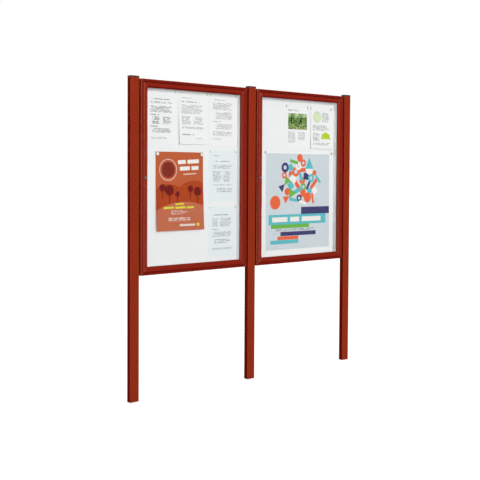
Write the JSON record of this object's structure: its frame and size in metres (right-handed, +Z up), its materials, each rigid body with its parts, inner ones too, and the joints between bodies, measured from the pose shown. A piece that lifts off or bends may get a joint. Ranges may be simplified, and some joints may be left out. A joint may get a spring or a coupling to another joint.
{
  "type": "lockable notice board",
  "caption": "Outdoor notice board: glazed, lockable display cases with swing doors, held between square-cut upright posts with black caps.",
  "frame": {"origin": "on the ground, midway between the outer posts and midway through the board's depth", "axes": "+X along the board to the right as seen from the front, +Y to the back (the doors face -Y), +Z up"},
  "size_m": [1.7136, 0.0586, 1.75],
  "materials": {
    "post_paint": "rust-red powder coat, satin",
    "frame_paint": "rust-red powder coat, satin",
    "door_paint": "rust-red powder coat, satin",
    "black_plastic": "matte",
    "steel": "zinc-plated, satin",
    "dark_steel": "blackened, satin",
    "nickel": "nickel-plated, satin",
    "mill_aluminium": "mill finish, satin",
    "white_enamel": "white enamel, satin",
    "clear_glass": "clear toughened glass",
    "black_rubber": "matte",
    "paper": "matte",
    "warm_print": "printed, matte",
    "cool_print": "printed, matte"
  },
  "bodies": {
    "root": {"left_post": "post_paint", "middle_post": "post_paint", "right_post": "post_paint", "left_post_cap": "black_plastic", "middle_post_cap": "black_plastic", "right_post_cap": "black_plastic", "left_upper_bracket": "steel", "left_lower_bracket": "steel", "middle_upper_bracket": "steel", "middle_lower_bracket": "steel", "right_upper_bracket": "steel", "right_lower_bracket": "steel", "left_frame_top": "frame_paint", "left_frame_bottom": "frame_paint", "left_frame_lock_side": "frame_paint", "left_frame_hinge_side": "frame_paint", "left_back_panel": "mill_aluminium", "left_display_pan": "white_enamel", "left_upper_pivot_pin": "dark_steel", "left_lower_pivot_pin": "dark_steel", "right_frame_top": "frame_paint", "right_frame_bottom": "frame_paint", "right_frame_lock_side": "frame_paint", "right_frame_hinge_side": "frame_paint", "right_back_panel": "mill_aluminium", "right_display_pan": "white_enamel", "right_upper_pivot_pin": "dark_steel", "right_lower_pivot_pin": "dark_steel", "left_notice_1": "paper", "left_notice_2": "paper", "left_notice_3": "paper", "left_notice_4": "paper", "left_notice_5": "paper", "left_poster": "warm_print", "right_notice_1": "paper", "right_notice_2": "paper", "right_poster": "cool_print"},
    "left_door": {"left_door_top_rail": "door_paint", "left_door_bottom_rail": "door_paint", "left_door_lock_stile": "door_paint", "left_door_hinge_stile": "door_paint", "left_door_glass": "clear_glass", "left_glazing_gasket": "black_rubber", "left_door_seal": "black_rubber", "left_lock_barrel": "nickel", "left_lock_nut": "steel"},
    "left_lock": {"left_lock_plug": "nickel", "left_lock_cam": "steel"},
    "right_door": {"right_door_top_rail": "door_paint", "right_door_bottom_rail": "door_paint", "right_door_lock_stile": "door_paint", "right_door_hinge_stile": "door_paint", "right_door_glass": "clear_glass", "right_glazing_gasket": "black_rubber", "right_door_seal": "black_rubber", "right_lock_barrel": "nickel", "right_lock_nut": "steel"},
    "right_lock": {"right_lock_plug": "nickel", "right_lock_cam": "steel"}
  },
  "joints": [
    {"name": "left_door_swing", "type": "hinge", "parent": "root", "child": "left_door", "pos_m": [-0.065, -0.01865, 1.208], "axis": [0, 0, 1], "range_deg": [0, 110]},
    {"name": "left_lock_turn", "type": "hinge", "parent": "left_door", "child": "left_lock", "pos_m": [-0.761, -0.02665, 1.208], "axis": [0, -1, 0], "range_deg": [0, 90]},
    {"name": "right_door_swing", "type": "hinge", "parent": "root", "child": "right_door", "pos_m": [0.763, -0.01865, 1.208], "axis": [0, 0, 1], "range_deg": [0, 110]},
    {"name": "right_lock_turn", "type": "hinge", "parent": "right_door", "child": "right_lock", "pos_m": [0.067, -0.02665, 1.208], "axis": [0, -1, 0], "range_deg": [0, 90]}
  ]
}
